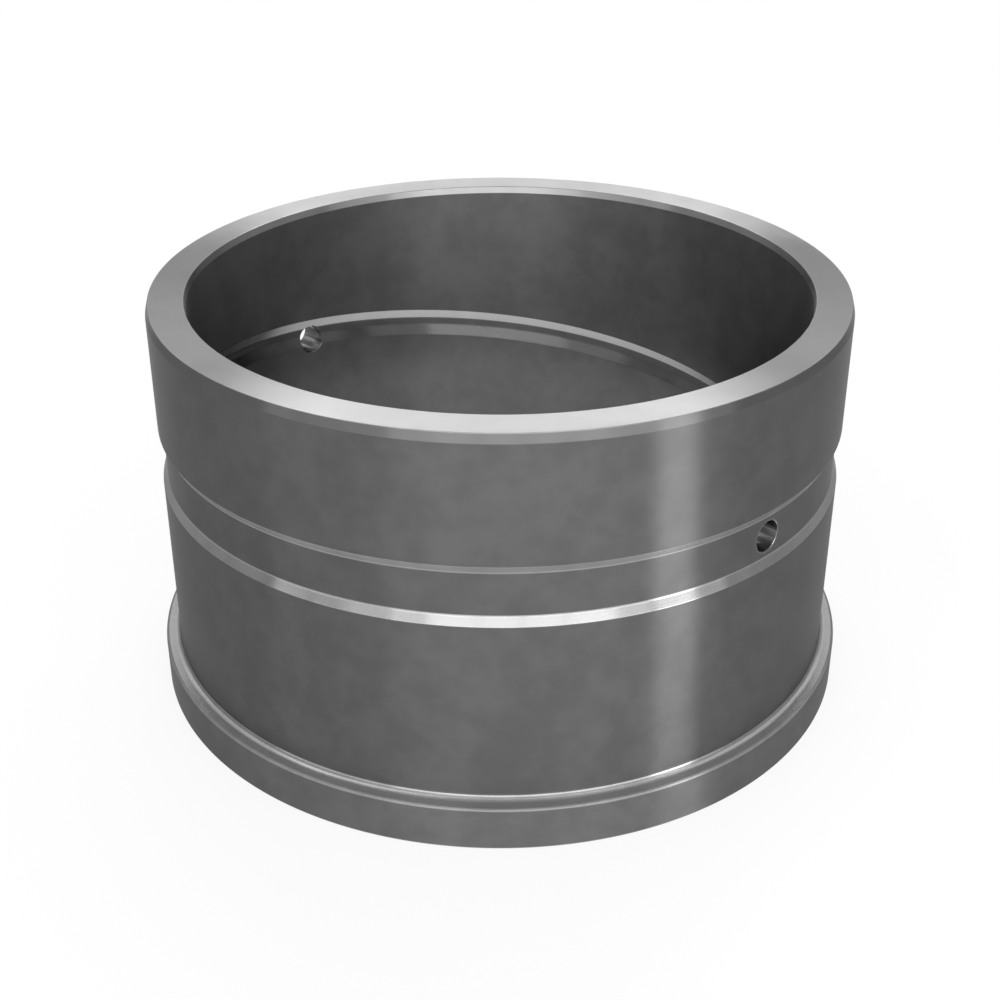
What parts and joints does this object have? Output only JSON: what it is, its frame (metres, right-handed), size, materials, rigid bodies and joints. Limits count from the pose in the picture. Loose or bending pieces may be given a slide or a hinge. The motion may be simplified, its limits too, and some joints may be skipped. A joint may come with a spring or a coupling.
{
  "type": "flanged bushing",
  "caption": "Flanged steel sleeve bushing with a ring groove outside, radial grease holes and a spiral grease groove in its bore.",
  "frame": {"origin": "centre of the flange's outer face, on the bore's axis", "axes": "+Z along the bore's axis towards the plain end; the grease holes lie on the diameter at 135 degrees from +X, and -Y faces the viewer of the picture"},
  "size_m": [0.235, 0.235, 0.135],
  "materials": {
    "machined_steel": "turned and ground, with a soft sheen"
  },
  "bodies": {
    "root": {"bushing": "machined_steel"}
  },
  "joints": []
}
